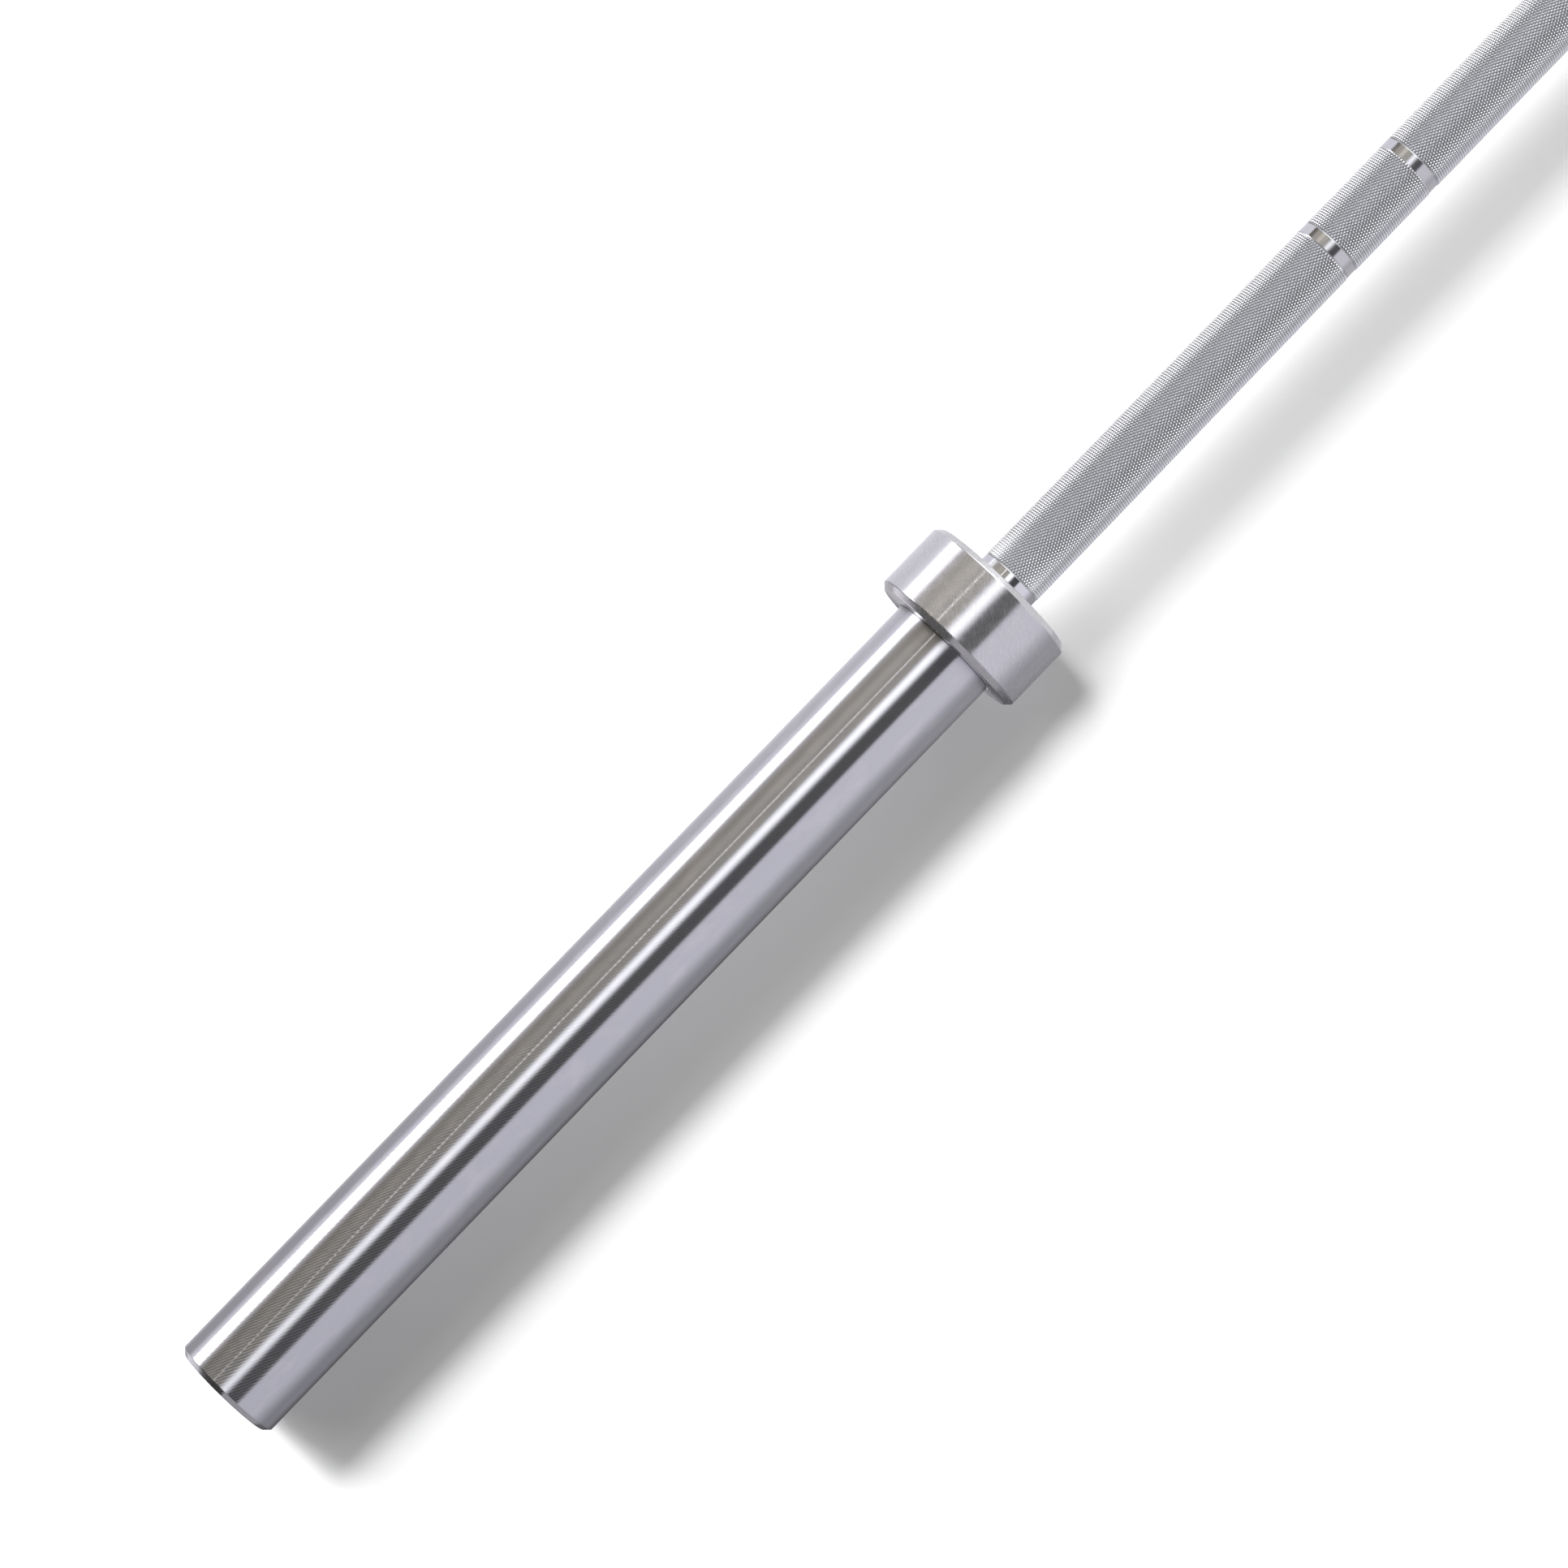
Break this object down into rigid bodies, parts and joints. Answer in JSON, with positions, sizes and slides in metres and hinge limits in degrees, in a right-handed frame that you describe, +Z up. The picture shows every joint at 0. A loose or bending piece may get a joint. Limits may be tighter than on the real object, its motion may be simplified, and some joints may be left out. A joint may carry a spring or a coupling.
{
  "type": "olympic barbell",
  "caption": "Long straight steel bar with knurled grips and smooth ring marks, and a free-turning collared sleeve at each end that holds weight plates.",
  "frame": {"origin": "middle of the bar, on its axis", "axes": "+X along the bar towards the right-hand sleeve, +Z up; the left-hand end, along -X, is the one in the picture"},
  "size_m": [2.244, 0.0744, 0.0745],
  "materials": {
    "bar_steel": "bright, knurled grips",
    "sleeve_chrome": "plated over fine turning marks",
    "collar_chrome": "plated, finely ground",
    "cap_chrome": "plated, plain face",
    "bronze": "turned, oiled",
    "washer_steel": "ground",
    "spring_steel": "phosphated, dark",
    "seal_rubber": "moulded, matt"
  },
  "bodies": {
    "shaft": {"shaft": "bar_steel", "left_inner_thrust_washer": "bronze", "left_outer_thrust_washer": "bronze", "left_wave_washer": "spring_steel", "left_retaining_washer": "washer_steel", "left_shaft_retaining_ring": "spring_steel", "right_inner_thrust_washer": "bronze", "right_outer_thrust_washer": "bronze", "right_wave_washer": "spring_steel", "right_retaining_washer": "washer_steel", "right_shaft_retaining_ring": "spring_steel"},
    "left_sleeve_unit": {"left_sleeve": "sleeve_chrome", "left_collar": "collar_chrome", "left_dust_seal": "seal_rubber", "left_inner_bushing": "bronze", "left_outer_bushing": "bronze", "left_end_cap": "cap_chrome", "left_cap_retaining_ring": "spring_steel"},
    "right_sleeve_unit": {"right_sleeve": "sleeve_chrome", "right_collar": "collar_chrome", "right_dust_seal": "seal_rubber", "right_inner_bushing": "bronze", "right_outer_bushing": "bronze", "right_end_cap": "cap_chrome", "right_cap_retaining_ring": "spring_steel"}
  },
  "joints": [
    {"name": "left_sleeve_spin", "type": "hinge", "parent": "shaft", "child": "left_sleeve_unit", "pos_m": [-0.9, 0, 0], "axis": [1, 0, 0], "continuous": true},
    {"name": "right_sleeve_spin", "type": "hinge", "parent": "shaft", "child": "right_sleeve_unit", "pos_m": [0.9, 0, 0], "axis": [1, 0, 0], "continuous": true}
  ]
}
